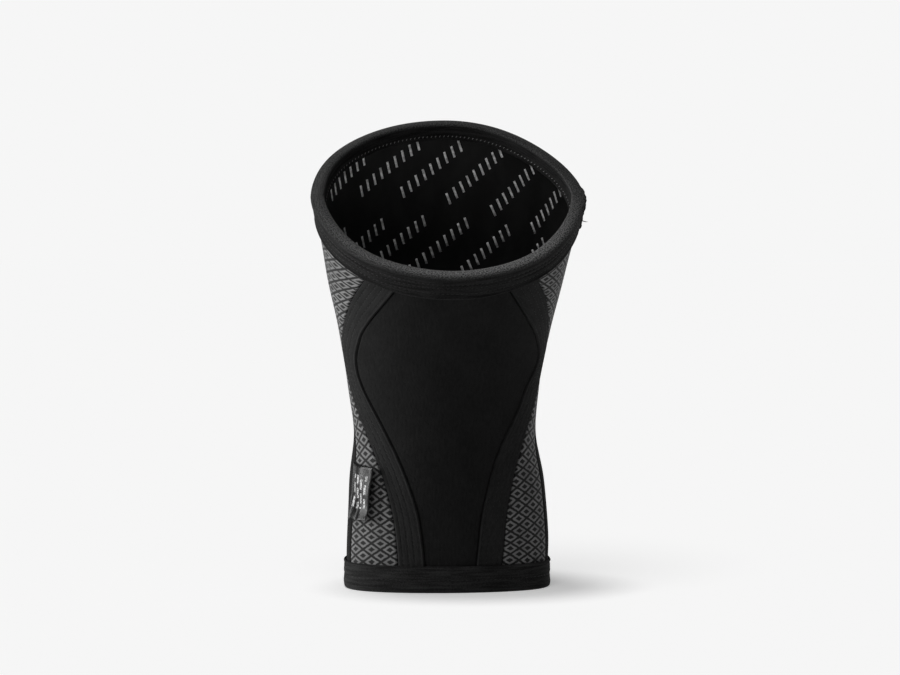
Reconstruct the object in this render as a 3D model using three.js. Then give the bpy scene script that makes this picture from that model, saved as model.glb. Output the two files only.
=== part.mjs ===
// Knee sleeve, standing on its lower rim: a bent tube of foam panels, butted and sewn edge to edge, over
// one lining, with a folded tape bound over each rim and a small ribbon label in one side seam.
// Millimetres, +Z up. The back-of-knee side, called near here, faces -Y; the kneecap side is far, +Y.
// A place on the wall is an angle from the near centre line, positive towards +X, and a share of the
// way up, from 0 at the lower rim to 1 at the upper rim.

import * as THREE from "three";

// Outside sizes of the wall
const BASE_WIDTH = 121;
const BASE_DEPTH = 68;
const WAIST_WIDTH = 108.5;
const WAIST_NEAR_REACH = 34.5; // how far the near wall stands from the base's centre line at the waist
const KNEE_REACH = 43; // the same on the far side, where the kneecap sits
const MOUTH_WIDTH = 157.5;
const MOUTH_NEAR_REACH = 74;
const MOUTH_FAR_REACH = 17;
const NEAR_HEIGHT = 187; // floor to the upper rim, at the back of the knee
const FAR_HEIGHT = 277; // floor to the upper rim, above the kneecap
const WAIST_SHIFT = 1.8; // how far the waist leans to -X
const PRESSED_SHARE = 0.55; // how much the far wall beside the tape's join is pressed flat

// Cloth, foam and tape
const FOAM = 3.6; // with the cloth that faces it
const LINING_GAP = 0.4;
const LINING = 1;
const SEAM_GAP = 0.4;
const TAPE = 0.9;
const TAPE_GAP = 0.5; // between the tape and the wall that it is folded over
const TOP_TAPE_HEIGHT = 14;
const TOP_TAPE_INSIDE = 11; // how far down its inner leg reaches
const TOP_CREST = 1.6; // how far the folded tape rises over the wall's edge
const BOTTOM_TAPE_HEIGHT = 16;
const BOTTOM_EDGE_RADIUS = 1.2;
const LAP_LENGTH = 13; // the upper tape's end, lapped over its start
const LAP_RISE = 0.8;
const LAP_SLOPE = 1.5; // length over which the lap steps up and down
const BAND_WIDTH = 16.5;

// Ribbon label in the left side seam
const LABEL_HEIGHT = 34;
const LABEL_WIDTH = 21;
const LABEL_THICKNESS = 1;
const LABEL_FOOT = 41; // floor to the label's lower corner at the seam
const LABEL_SKEW = 4; // how much higher its free side is
const LABEL_LIFT = 2.2; // how far its free side stands off the panel

// Colours, from the photograph
const BLACK_JERSEY = { color: 0x131313, roughness: 0.92, metalness: 0 };
const BLACK_BAND = { color: 0x1b1b1b, roughness: 0.85, metalness: 0 };
const GREY_LATTICE = { color: 0x3a3b3d, roughness: 0.8, metalness: 0 };
const BLACK_LINING = { color: 0x0f0f0f, roughness: 0.8, metalness: 0 };
const BLACK_TAPE = { color: 0x1d1d1d, roughness: 0.9, metalness: 0 };
const SATIN_RIBBON = { color: 0x2b2b2b, roughness: 0.35, metalness: 0 };

const WALL = FOAM + LINING_GAP + LINING;
const FOOT = TAPE + TAPE_GAP; // height of the wall's lower edge
const MIDDLE_OF_BASE = BASE_DEPTH / 2;

const table = (columns, rows) =>
  rows.map((row) => Object.fromEntries(columns.map((column, i) => [column, row[i]])));

// One row for each section of the tube. The rises are shares of the two heights, the reaches and the
// width are shares of a named size, and the shift is a share of the waist's.
const SECTIONS = table(
  ["along", "nearRise", "farRise", "nearReach", "farReach", "width", "shift"],
  [
    [0, 0, 0, MIDDLE_OF_BASE, MIDDLE_OF_BASE, BASE_WIDTH, 0],
    [0.12, 0.13, 0.13, 1.01 * MIDDLE_OF_BASE, 1.05 * MIDDLE_OF_BASE, BASE_WIDTH, -0.2],
    [0.25, 0.27, 0.26, WAIST_NEAR_REACH, 0.88 * KNEE_REACH, 0.97 * BASE_WIDTH, 0],
    [0.38, 0.42, 0.385, WAIST_NEAR_REACH, 0.95 * KNEE_REACH, 1.01 * WAIST_WIDTH, 0.65],
    [0.5, 0.57, 0.5, 1.1 * WAIST_NEAR_REACH, KNEE_REACH, 1.065 * WAIST_WIDTH, 1],
    [0.62, 0.71, 0.61, 0.61 * MOUTH_NEAR_REACH, 0.98 * KNEE_REACH, 1.155 * WAIST_WIDTH, 0.8],
    [0.75, 0.82, 0.73, 0.73 * MOUTH_NEAR_REACH, 0.88 * KNEE_REACH, 0.87 * MOUTH_WIDTH, 0.45],
    [0.88, 0.915, 0.865, 0.865 * MOUTH_NEAR_REACH, 1.7 * MOUTH_FAR_REACH, 0.94 * MOUTH_WIDTH, 0.15],
    [1, 1, 1, MOUTH_NEAR_REACH, MOUTH_FAR_REACH, MOUTH_WIDTH, 0],
  ],
);

// Seams, alike on both sides. The near panel and the kneecap panel end at an angle in degrees, and the
// band beside the near panel is this many times its own width, measured round the tube.
const SEAMS = table(
  ["along", "nearEdge", "band", "kneeEdge"],
  [
    [0, 13, 1.02, 75],
    [0.12, 15.3, 1, 75],
    [0.23, 18.8, 1, 75],
    [0.31, 25, 1.04, 76.5],
    [0.38, 33, 1.15, 81],
    [0.46, 45, 1.2, 92],
    [0.55, 60.5, 0.95, 103],
    [0.6, 62.5, 0.87, 107],
    [0.66, 55.5, 0.97, 110],
    [0.74, 44.5, 1.1, 113],
    [0.82, 35, 1.2, 115.5],
    [0.91, 26.3, 1.2, 118],
    [1, 19, 1.15, 120],
  ],
);

// How finely the pieces are cut into facets
const ROWS_UP = 20;
const LEAST_STEP = 1.5; // degrees between two columns of a tape
const CREST_STEPS = 5;
const ARC_STEPS = 6;
const LABEL_COLUMNS = 4;
const LABEL_ROWS = 5;

const radians = THREE.MathUtils.degToRad;

// A column's value between the rows of a table, on a smooth curve through them.
function between(rows, column, along) {
  const last = rows.length - 1;
  let i = 0;
  while (i < last - 1 && along > rows[i + 1].along) i += 1;
  const slope = (k) => {
    const a = rows[Math.max(k - 1, 0)];
    const b = rows[Math.min(k + 1, last)];
    return (b[column] - a[column]) / (b.along - a.along);
  };
  const step = rows[i + 1].along - rows[i].along;
  const t = (along - rows[i].along) / step;
  return (
    (2 * t ** 3 - 3 * t ** 2 + 1) * rows[i][column] +
    (t ** 3 - 2 * t ** 2 + t) * step * slope(i) +
    (3 * t ** 2 - 2 * t ** 3) * rows[i + 1][column] +
    (t ** 3 - t ** 2) * step * slope(i + 1)
  );
}

// The wall's outer face.
function outside(angle, along) {
  const section = (column) => between(SECTIONS, column, along);
  const near = new THREE.Vector2(-section("nearReach"), FOOT + section("nearRise") * (NEAR_HEIGHT - FOOT));
  const far = new THREE.Vector2(section("farReach"), FOOT + section("farRise") * (FAR_HEIGHT - FOOT));
  const farness = -Math.cos(angle);
  const besideJoin = Math.sin(angle) > 0 && farness > 0;
  const pressed = besideJoin ? PRESSED_SHARE * along ** 2 * (1 - farness) : 0;
  const across = (1 + farness * (1 - pressed)) / 2;
  return new THREE.Vector3(
    (section("width") / 2) * Math.sin(angle) - WAIST_SHIFT * section("shift"),
    near.x + (far.x - near.x) * across,
    near.y + (far.y - near.y) * across,
  );
}

const TINY = 1e-3;

function roundTangent(angle, along) {
  return outside(angle + TINY, along).sub(outside(angle - TINY, along)).divideScalar(2 * TINY);
}

function upTangent(angle, along) {
  const low = Math.max(along - TINY, 0);
  const high = Math.min(along + TINY, 1);
  return outside(angle, high).sub(outside(angle, low)).divideScalar(high - low);
}

// A point at a depth under the outer face: the inner face is a wall's thickness deep, and a negative
// depth stands proud.
function within(angle, along, depth) {
  const normal = roundTangent(angle, along).cross(upTangent(angle, along)).normalize();
  return outside(angle, along).addScaledVector(normal, -depth);
}

// The angle that lies a distance further round the section.
function further(angle, along, distance) {
  let at = angle;
  for (let k = 0; k < ARC_STEPS; k += 1) at += distance / ARC_STEPS / roundTangent(at, along).length();
  return at;
}

const nearEdge = (along) => radians(between(SEAMS, "nearEdge", along));
const kneeEdge = (along) => radians(between(SEAMS, "kneeEdge", along));
const bandEdge = (along) => further(nearEdge(along), along, BAND_WIDTH * between(SEAMS, "band", along));

function geometryOf(points, triangles) {
  return new THREE.BufferGeometry().setFromPoints(points).setIndex(triangles);
}

// A closed plate between two faces, each a grid of points given by its column and row.
function plate(columns, rows, outer, inner) {
  const points = [];
  const triangles = [];
  for (const face of [outer, inner]) {
    for (let j = 0; j <= rows; j += 1) {
      for (let i = 0; i <= columns; i += 1) points.push(face(i, j));
    }
  }
  const size = (columns + 1) * (rows + 1);
  const front = (i, j) => j * (columns + 1) + i;
  const back = (i, j) => size + front(i, j);
  const quad = (a, b, c, d) => triangles.push(a, b, c, a, c, d);
  for (let j = 0; j < rows; j += 1) {
    for (let i = 0; i < columns; i += 1) {
      quad(front(i, j), front(i + 1, j), front(i + 1, j + 1), front(i, j + 1));
      quad(back(i, j), back(i, j + 1), back(i + 1, j + 1), back(i + 1, j));
    }
    quad(front(columns, j), back(columns, j), back(columns, j + 1), front(columns, j + 1));
    quad(front(0, j), front(0, j + 1), back(0, j + 1), back(0, j));
  }
  for (let i = 0; i < columns; i += 1) {
    quad(back(i, 0), back(i + 1, 0), front(i + 1, 0), front(i, 0));
    quad(front(i, rows), front(i + 1, rows), back(i + 1, rows), back(i, rows));
  }
  return geometryOf(points, triangles);
}

// A closed ring: the same number of profile points at each column round the tube, going up its outer face.
function ring(columns, profile) {
  const loops = columns.map(profile);
  const count = loops[0].length;
  const triangles = [];
  loops.forEach((loop, i) => {
    const next = (i + 1) % loops.length;
    loop.forEach((_, k) => {
      const after = (k + 1) % count;
      const [a, b, c, d] = [i * count + k, next * count + k, next * count + after, i * count + after];
      triangles.push(a, b, c, a, c, d);
    });
  });
  return geometryOf(loops.flat(), triangles);
}

// The angle at a distance beside a seam, measured square to the seam.
function beside(seam, along, distance) {
  const step = 1 / ROWS_UP;
  const low = Math.max(along - step, 0);
  const high = Math.min(along + step, 1);
  const angle = seam(along);
  const drift = ((seam(high) - seam(low)) / (high - low)) * roundTangent(angle, along).length();
  const slant = drift / upTangent(angle, along).length();
  return further(angle, along, distance * Math.hypot(1, slant));
}

const mirrored = (seam) => (along) => -seam(along);
const pastFar = (along) => 2 * Math.PI - kneeEdge(along);

// The foam panels in their order round the tube, each between two seams.
const PANELS = table(
  ["name", "columns", "from", "to", "finish"],
  [
    ["rear_panel", 10, mirrored(nearEdge), nearEdge, BLACK_JERSEY],
    ["rear_band_right", 3, nearEdge, bandEdge, BLACK_BAND],
    ["side_panel_right", 7, bandEdge, kneeEdge, GREY_LATTICE],
    ["knee_panel", 16, kneeEdge, pastFar, BLACK_JERSEY],
    ["side_panel_left", 7, mirrored(kneeEdge), mirrored(bandEdge), GREY_LATTICE],
    ["rear_band_left", 3, mirrored(bandEdge), mirrored(nearEdge), BLACK_BAND],
  ],
);

function panel({ columns, from, to }) {
  const angleAt = (i, along) => {
    const start = beside(from, along, SEAM_GAP / 2);
    const end = beside(to, along, -SEAM_GAP / 2);
    return THREE.MathUtils.lerp(start, end, i / columns);
  };
  const face = (depth) => (i, j) => within(angleAt(i, j / ROWS_UP), j / ROWS_UP, depth);
  return plate(columns, ROWS_UP, face(0), face(FOAM));
}

const columnAt = (from, to, share) => (along) => THREE.MathUtils.lerp(from(along), to(along), share);

// The panels' columns in one row round the tube, for what lies against the panels.
const COLUMNS = PANELS.flatMap(({ columns, from, to }) =>
  Array.from({ length: columns }, (_, i) => columnAt(from, to, i / columns)),
);

function lining() {
  const rows = Array.from({ length: ROWS_UP + 1 }, (_, j) => j / ROWS_UP);
  const profile = (column) => [
    ...rows.map((along) => within(column(along), along, FOAM + LINING_GAP)),
    ...rows.toReversed().map((along) => within(column(along), along, WALL)),
  ];
  return ring(COLUMNS, profile);
}

function rimAngles(along, extra = []) {
  const apart = (a) => extra.every((b) => Math.abs(a - b) > radians(LEAST_STEP));
  const angles = COLUMNS.map((column) => column(along)).filter(apart);
  return [...angles, ...extra].sort((a, b) => a - b);
}

// The upper tape goes up the outer face, over the edge in a low round crest, and down the inner face.
function topBinding() {
  const lapMiddle = Math.PI / 2;
  const lapStart = further(lapMiddle, 1, -LAP_LENGTH / 2);
  const lapEnd = further(lapMiddle, 1, LAP_LENGTH / 2);
  const beforeLap = further(lapStart, 1, -LAP_SLOPE);
  const afterLap = further(lapEnd, 1, LAP_SLOPE);
  const outerFace = -(TAPE_GAP + TAPE);
  const innerFace = WALL + TAPE_GAP + TAPE;

  const profile = (angle) => {
    const up = upTangent(angle, 1);
    const unit = up.clone().normalize();
    const rise = angle > beforeLap && angle < afterLap ? LAP_RISE : 0;
    const at = (drop, depth) =>
      drop > 0
        ? within(angle, 1 - drop / up.length(), depth)
        : within(angle, 1, depth).addScaledVector(unit, -drop);
    const crest = Array.from({ length: CREST_STEPS + 1 }, (_, k) => {
      const turn = (Math.PI * k) / CREST_STEPS;
      const middle = (outerFace - rise + innerFace) / 2;
      const half = (innerFace - outerFace + rise) / 2;
      return at(-TAPE_GAP - TOP_CREST * Math.sin(turn), middle - half * Math.cos(turn));
    });
    return [
      at(TOP_TAPE_HEIGHT, outerFace - rise),
      at(TOP_TAPE_HEIGHT / 2, outerFace - rise),
      ...crest,
      at(TOP_TAPE_INSIDE / 2, innerFace),
      at(TOP_TAPE_INSIDE, innerFace),
      at(TOP_TAPE_INSIDE, WALL + TAPE_GAP),
      at(TOP_TAPE_INSIDE / 2, WALL + TAPE_GAP),
      at(-TAPE_GAP, WALL + TAPE_GAP),
      at(-TAPE_GAP, -TAPE_GAP),
      at(TOP_TAPE_HEIGHT / 2, -TAPE_GAP),
      at(TOP_TAPE_HEIGHT, -TAPE_GAP),
    ];
  };
  return ring(rimAngles(1, [beforeLap, lapStart, lapEnd, afterLap]), profile);
}

// The lower tape is the same, upside down, and is pressed flat where the sleeve stands on it.
function bottomBinding() {
  const outerFace = -(TAPE_GAP + TAPE);
  const innerFace = WALL + TAPE_GAP + TAPE;
  const legTop = BOTTOM_TAPE_HEIGHT;
  const legMiddle = BOTTOM_TAPE_HEIGHT / 2;
  const corner = BOTTOM_EDGE_RADIUS;
  const cut = corner * (1 - Math.SQRT1_2);

  const profile = (angle) => {
    const perShare = upTangent(angle, 0).length();
    const up = (height, depth) => within(angle, (height - FOOT) / perShare, depth);
    const low = (height, depth) => within(angle, 0, depth).setZ(height);
    return [
      low(0, innerFace - corner),
      low(0, outerFace + corner),
      low(cut, outerFace + cut),
      low(corner, outerFace),
      up(legMiddle, outerFace),
      up(legTop, outerFace),
      up(legTop, -TAPE_GAP),
      up(legMiddle, -TAPE_GAP),
      low(TAPE, -TAPE_GAP),
      low(TAPE, WALL + TAPE_GAP),
      up(legMiddle, WALL + TAPE_GAP),
      up(legTop, WALL + TAPE_GAP),
      up(legTop, innerFace),
      up(legMiddle, innerFace),
      low(corner, innerFace),
      low(cut, innerFace - cut),
    ];
  };
  return ring(rimAngles(0), profile);
}

// The label leaves the left side seam, lies forward over the side panel and lifts at its free side.
function label() {
  const seamShare = (height) => {
    let along = height / FAR_HEIGHT;
    for (let k = 0; k < ARC_STEPS; k += 1) {
      along += (height - outside(-kneeEdge(along), along).z) / upTangent(-kneeEdge(along), along).z;
    }
    return along;
  };
  const face = (extra) => (i, j) => {
    const out = i / LABEL_COLUMNS;
    const height = LABEL_FOOT + (LABEL_HEIGHT * j) / LABEL_ROWS + LABEL_SKEW * out;
    const along = seamShare(height);
    const angle = further(-kneeEdge(along), along, SEAM_GAP + LABEL_WIDTH * out);
    return within(angle, along, -(TAPE_GAP + LABEL_LIFT * out ** 2 + extra));
  };
  return plate(LABEL_COLUMNS, LABEL_ROWS, face(LABEL_THICKNESS), face(0));
}

const sleeve = new THREE.Group();

function add(name, geometry, finish) {
  const mesh = new THREE.Mesh(geometry, new THREE.MeshStandardMaterial(finish));
  mesh.name = name;
  mesh.geometry.computeVertexNormals();
  sleeve.add(mesh);
}

for (const piece of PANELS) add(piece.name, panel(piece), piece.finish);
add("lining", lining(), BLACK_LINING);
add("top_binding", topBinding(), BLACK_TAPE);
add("bottom_binding", bottomBinding(), BLACK_TAPE);
add("side_label", label(), SATIN_RIBBON);

// The part's origin is the middle of its base box, on the floor.
const box = new THREE.Box3().setFromObject(sleeve);
sleeve.position.set(-(box.min.x + box.max.x) / 2, -(box.min.y + box.max.y) / 2, 0);

export default sleeve;
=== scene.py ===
# Looks of the knee sleeve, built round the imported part. Lengths are in millimetres from the middle of the
# base, as in the part's source, and turn into metres of the frame where a mesh is made.
# A place on the wall is an angle from the near centre line, positive towards +X, and a share of the way
# up, called along, from 0 at the lower rim to 1 at the upper rim.
import math

import bpy
import numpy as np
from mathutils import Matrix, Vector

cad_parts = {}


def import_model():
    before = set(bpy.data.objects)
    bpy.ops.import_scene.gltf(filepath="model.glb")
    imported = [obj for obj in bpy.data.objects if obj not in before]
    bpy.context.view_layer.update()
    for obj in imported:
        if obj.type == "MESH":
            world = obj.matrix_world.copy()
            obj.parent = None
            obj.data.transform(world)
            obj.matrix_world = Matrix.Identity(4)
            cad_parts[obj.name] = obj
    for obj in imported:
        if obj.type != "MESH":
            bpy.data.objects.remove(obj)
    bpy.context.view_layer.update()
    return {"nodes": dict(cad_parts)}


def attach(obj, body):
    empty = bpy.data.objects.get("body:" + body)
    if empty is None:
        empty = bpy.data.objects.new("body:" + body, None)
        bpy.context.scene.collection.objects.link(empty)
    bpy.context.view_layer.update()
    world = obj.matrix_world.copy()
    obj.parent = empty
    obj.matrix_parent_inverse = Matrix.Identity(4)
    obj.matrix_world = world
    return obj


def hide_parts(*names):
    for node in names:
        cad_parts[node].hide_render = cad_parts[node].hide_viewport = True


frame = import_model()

# Sizes repeated from the part's source
BASE_WIDTH = 121
BASE_DEPTH = 68
WAIST_WIDTH = 108.5
WAIST_NEAR_REACH = 34.5
KNEE_REACH = 43
MOUTH_WIDTH = 157.5
MOUTH_NEAR_REACH = 74
MOUTH_FAR_REACH = 17
NEAR_HEIGHT = 187
FAR_HEIGHT = 277
WAIST_SHIFT = 1.8
FOAM = 3.6
LINING_GAP = 0.4
LINING = 1
SEAM_GAP = 0.4
TAPE = 0.9
TAPE_GAP = 0.5
TOP_TAPE_HEIGHT = 14
TOP_TAPE_INSIDE = 8.5  # the solid one reaches 11 down; the real one ends under its row of stitches
TOP_CREST = 1.6
BOTTOM_TAPE_HEIGHT = 16
BOTTOM_EDGE_RADIUS = 1.2
LAP_LENGTH = 13
LAP_RISE = 0.8
LAP_SLOPE = 1.5
BAND_WIDTH = 16.5
LABEL_HEIGHT = 34
LABEL_WIDTH = 21
LABEL_THICKNESS = 1
LABEL_FOOT = 41
LABEL_SKEW = 4
LABEL_LIFT = 2.2

WALL = FOAM + LINING_GAP + LINING
FOOT = TAPE + TAPE_GAP
MIDDLE_OF_BASE = BASE_DEPTH / 2


def table(columns, rows):
    return dict(zip(columns, np.array(rows, float).T))


SECTIONS = table(["along", "nearRise", "farRise", "nearReach", "farReach", "width", "shift"], [
    [0, 0, 0, MIDDLE_OF_BASE, MIDDLE_OF_BASE, BASE_WIDTH, 0],
    [0.12, 0.13, 0.13, 1.01 * MIDDLE_OF_BASE, 1.05 * MIDDLE_OF_BASE, BASE_WIDTH, -0.2],
    [0.25, 0.27, 0.26, WAIST_NEAR_REACH, 0.88 * KNEE_REACH, 0.97 * BASE_WIDTH, 0],
    [0.38, 0.42, 0.385, WAIST_NEAR_REACH, 0.95 * KNEE_REACH, 1.01 * WAIST_WIDTH, 0.65],
    [0.5, 0.57, 0.5, 1.1 * WAIST_NEAR_REACH, KNEE_REACH, 1.065 * WAIST_WIDTH, 1],
    [0.62, 0.71, 0.61, 0.61 * MOUTH_NEAR_REACH, 0.98 * KNEE_REACH, 1.155 * WAIST_WIDTH, 0.8],
    [0.75, 0.82, 0.73, 0.73 * MOUTH_NEAR_REACH, 0.88 * KNEE_REACH, 0.87 * MOUTH_WIDTH, 0.45],
    [0.88, 0.915, 0.865, 0.865 * MOUTH_NEAR_REACH, 1.7 * MOUTH_FAR_REACH, 0.94 * MOUTH_WIDTH, 0.15],
    [1, 1, 1, MOUTH_NEAR_REACH, MOUTH_FAR_REACH, MOUTH_WIDTH, 0],
])

SEAMS = table(["along", "nearEdge", "band", "kneeEdge"], [
    [0, 13, 1.02, 75],
    [0.12, 15.3, 1, 75],
    [0.23, 18.8, 1, 75],
    [0.31, 25, 1.04, 76.5],
    [0.38, 33, 1.15, 81],
    [0.46, 45, 1.2, 92],
    [0.55, 60.5, 0.95, 103],
    [0.6, 62.5, 0.87, 107],
    [0.66, 55.5, 0.97, 110],
    [0.74, 44.5, 1.1, 113],
    [0.82, 35, 1.2, 115.5],
    [0.91, 26.3, 1.2, 118],
    [1, 19, 1.15, 120],
])

TINY = 1e-3
ARC_STEPS = 6
ROUND_SAMPLES = 1440
ROW_SAMPLES = 65
SEAM_SAMPLES = 601
HEIGHT_SAMPLES = 401
SLANT_REACH = 0.05

# How finely the pieces are meshed, in millimetres or counts
PANEL_ROWS = 150
SEAM_STEPS = np.array([0, 0.15, 0.35, 0.6, 0.95, 1.4, 2.0, 2.8])
PANEL_STEP = 2.4
BAND_STEP = 0.3
TAPE_STEP = 1.0
RELIEF_STEP = 0.35
LINING_COLUMNS = 240
LINING_ROWS = 110

# Relief of the cloth. A bump is a place, height and half width, and a wave is a height, turns round, turns
# up and a start.
EDGE_DIP = 0.6
EDGE_ROUND = 1.3
BAND_PROUD = 0.45
BAND_NEAR_SLOPE = 0.8
BAND_FAR_SLOPE = 1.2
BAND_RIDGE = (0.75, 0.34, 0.45)
BAND_GROOVE = 0.2
BAND_GROOVE_WIDTH = 0.45
BAND_LINES = (0.13, 0.35, 0.57, 0.79)
SWELL = 0.22
SWELL_WAVES = [(1, 3, 9, 0.4), (0.7, 5, -14, 2.1), (0.5, 9, 23, 4.0), (0.4, 2, 37, 1.0)]
SWELL_FROM = 0.08
CRUMPLE = 0.22
CRUMPLE_WAVES = [(1, 1.9, 0.9, 0), (0.8, 0.8, -1.6, 1.0)]

# Where the standing cloth strays a little from the solid's smooth ellipses
PRESSED_SHARE = 0.34  # 0.55 in the solid
BASE_SQUARED = 0.38
SQUARED_UP_TO = 0.3
PINCH_RIGHT = 7.0
PINCH_LEFT = 7.5
LEAN = 1.2

# Where the bands' seams stray from the solid's, as bumps over the share of the way up, in degrees
RIGHT_NEAR_STRAY = (0.535, 3.8, 0.038)
LEFT_NEAR_STRAY = (0.6, 3.4, 0.07)
LEFT_BAND_STRAY = (0.55, 2.8, 0.08)

STITCH_PITCH = 2.8
STITCH_LENGTH = 2.1
STITCH_RADIUS = 0.2

# The grey lattice: one diamond, and how much of it is grey
DIAMOND_WIDTH = 11.4
DIAMOND_HEIGHT = 7.5
DIAMOND_HEART = 0.40
DIAMOND_RIM = 0.78
HEART_SOFT = 0.06
RIM_SOFT = 0.05
DIAMOND_RAGGED = 0.16
LATTICE_ASKEW = 0.55
ASKEW_FROM = 110
ASKEW_OVER = 45

METRES = 0.001
FLAT = 1e-5


def base_centre():
    """The middle of the lower tape's flat face, in metres of the frame."""
    points = np.array([v.co for v in frame["nodes"]["bottom_binding"].data.vertices])
    standing = points[points[:, 2] < FLAT]
    middle = (standing.min(0) + standing.max(0)) / 2
    return np.array([middle[0], middle[1], 0])


ORIGIN = base_centre()


def in_frame(points):
    return ORIGIN + np.asarray(points) * METRES


# The wall's surface, as in the part's source


def between(rows, column, along):
    """A column's value between the rows of a table, on a smooth curve through them."""
    at, value = rows["along"], rows[column]
    last = len(at) - 1
    k = np.arange(last + 1)
    before, after = np.maximum(k - 1, 0), np.minimum(k + 1, last)
    slope = (value[after] - value[before]) / (at[after] - at[before])
    i = np.clip(np.searchsorted(at, along) - 1, 0, last - 1)
    step = at[i + 1] - at[i]
    t = (along - at[i]) / step
    return (
        (2 * t**3 - 3 * t**2 + 1) * value[i]
        + (t**3 - 2 * t**2 + t) * step * slope[i]
        + (3 * t**2 - 2 * t**3) * value[i + 1]
        + (t**3 - t**2) * step * slope[i + 1]
    )


def outside(angle, along):
    """The wall's outer face."""
    angle, along = np.broadcast_arrays(angle, along)
    near_y = -between(SECTIONS, "nearReach", along)
    near_z = FOOT + between(SECTIONS, "nearRise", along) * (NEAR_HEIGHT - FOOT)
    far_y = between(SECTIONS, "farReach", along)
    far_z = FOOT + between(SECTIONS, "farRise", along) * (FAR_HEIGHT - FOOT)
    farness = -np.cos(angle)
    squared = 1 - BASE_SQUARED * np.clip(1 - along / SQUARED_UP_TO, 0, 1)
    farness = np.sign(farness) * np.abs(farness) ** squared
    beside_join = (np.sin(angle) > 0) & (farness > 0)
    pressed = np.where(beside_join, PRESSED_SHARE * along**2 * (1 - farness), 0)
    across = (1 + farness * (1 - pressed)) / 2
    width = between(SECTIONS, "width", along)
    shift = between(SECTIONS, "shift", along)
    sideways = np.sin(angle)
    high = np.clip(along, 0, 1) ** 4
    pinch = np.where(sideways > 0, PINCH_RIGHT, PINCH_LEFT) * sideways**5 * np.clip(np.cos(angle), 0, 1)
    inwards = high * (pinch + LEAN * sideways**2)
    return np.stack(
        [
            width / 2 * sideways - inwards - WAIST_SHIFT * shift,
            near_y + (far_y - near_y) * across,
            near_z + (far_z - near_z) * across,
        ],
        axis=-1,
    )


def round_tangent(angle, along):
    return (outside(angle + TINY, along) - outside(angle - TINY, along)) / (2 * TINY)


def up_tangent(angle, along):
    along = np.asarray(along, float)
    low, high = np.maximum(along - TINY, 0), np.minimum(along + TINY, 1)
    return (outside(angle, high) - outside(angle, low)) / (high - low)[..., None]


def unit(vectors):
    return vectors / np.linalg.norm(vectors, axis=-1, keepdims=True)


def normal(angle, along):
    along = np.clip(along, 0, 1)
    return unit(np.cross(round_tangent(angle, along), up_tangent(angle, along)))


def waves(rows, across, up):
    return sum(height * np.sin(p * across + q * up + start) for height, p, q, start in rows)


def swell(angle, along):
    """The soft unevenness of a wall that stands by itself, the same for all its layers."""
    return SWELL * waves(SWELL_WAVES, angle, along) * np.clip(along / SWELL_FROM, 0, 1)


def within(angle, along, depth):
    """A point at a depth under the outer face; a negative depth stands proud."""
    angle, along, depth = np.broadcast_arrays(angle, along, depth)
    out = (swell(angle, along) - depth)[..., None]
    return outside(angle, along) + normal(angle, along) * out


def further(angle, along, distance):
    """The angle that lies a distance further round the section."""
    at = np.asarray(angle, float)
    for _ in range(ARC_STEPS):
        at = at + distance / ARC_STEPS / np.linalg.norm(round_tangent(at, along), axis=-1)
    return at


def near_edge(along):
    return np.radians(between(SEAMS, "nearEdge", along))


def knee_edge(along):
    return np.radians(between(SEAMS, "kneeEdge", along))


def band_edge(along):
    return further(near_edge(along), along, BAND_WIDTH * between(SEAMS, "band", along))


def right_near_edge(along):
    """The right band's near edge bends in sharply under the waist."""
    return near_edge(along) - np.radians(bump(along, *RIGHT_NEAR_STRAY))


def left_near_edge(along):
    """The left band is a little wider at the waist than the right one."""
    return np.radians(bump(along, *LEFT_NEAR_STRAY)) - near_edge(along)


def left_band_edge(along):
    return -band_edge(along) - np.radians(bump(along, *LEFT_BAND_STRAY))


def left_knee_edge(along):
    return -knee_edge(along)


def past_far(along):
    return 2 * math.pi - knee_edge(along)


def beside(seam, along, distance):
    """The angle at a distance beside a seam, measured square to the seam."""
    low, high = np.maximum(along - SLANT_REACH, 0), np.minimum(along + SLANT_REACH, 1)
    angle = seam(along)
    drift = (seam(high) - seam(low)) / (high - low)
    drift = drift * np.linalg.norm(round_tangent(angle, along), axis=-1)
    slant = drift / np.linalg.norm(up_tangent(angle, along), axis=-1)
    return further(angle, along, distance * np.hypot(1, slant))


def lengths(points):
    """The distance run at each point of a line."""
    steps = np.linalg.norm(np.diff(points, axis=0), axis=-1)
    return np.concatenate([[0], np.cumsum(steps)])


def even_angles(along, count, start=0.0):
    """Angles at even distances once round a section, with the closing one last, and the distances."""
    fine = np.linspace(start, start + 2 * math.pi, ROUND_SAMPLES + 1)
    run = lengths(outside(fine, along))
    at = np.linspace(0, run[-1], count + 1)
    return np.interp(at, run, fine), at


def girth(along, start=0.0):
    return even_angles(along, 1, start)[1][-1]


def height_run(along, angle):
    """Distance run up the wall at one angle, for each share of the way up."""
    fine = np.linspace(0, 1, HEIGHT_SAMPLES)
    return np.interp(along, fine, lengths(outside(angle, fine)))


def bump(at, centre, height, half_width):
    return height * np.exp(-(((at - centre) / half_width) ** 2))


def smooth_step(x):
    x = np.clip(x, 0, 1)
    return x * x * (3 - 2 * x)


# Meshes


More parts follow.
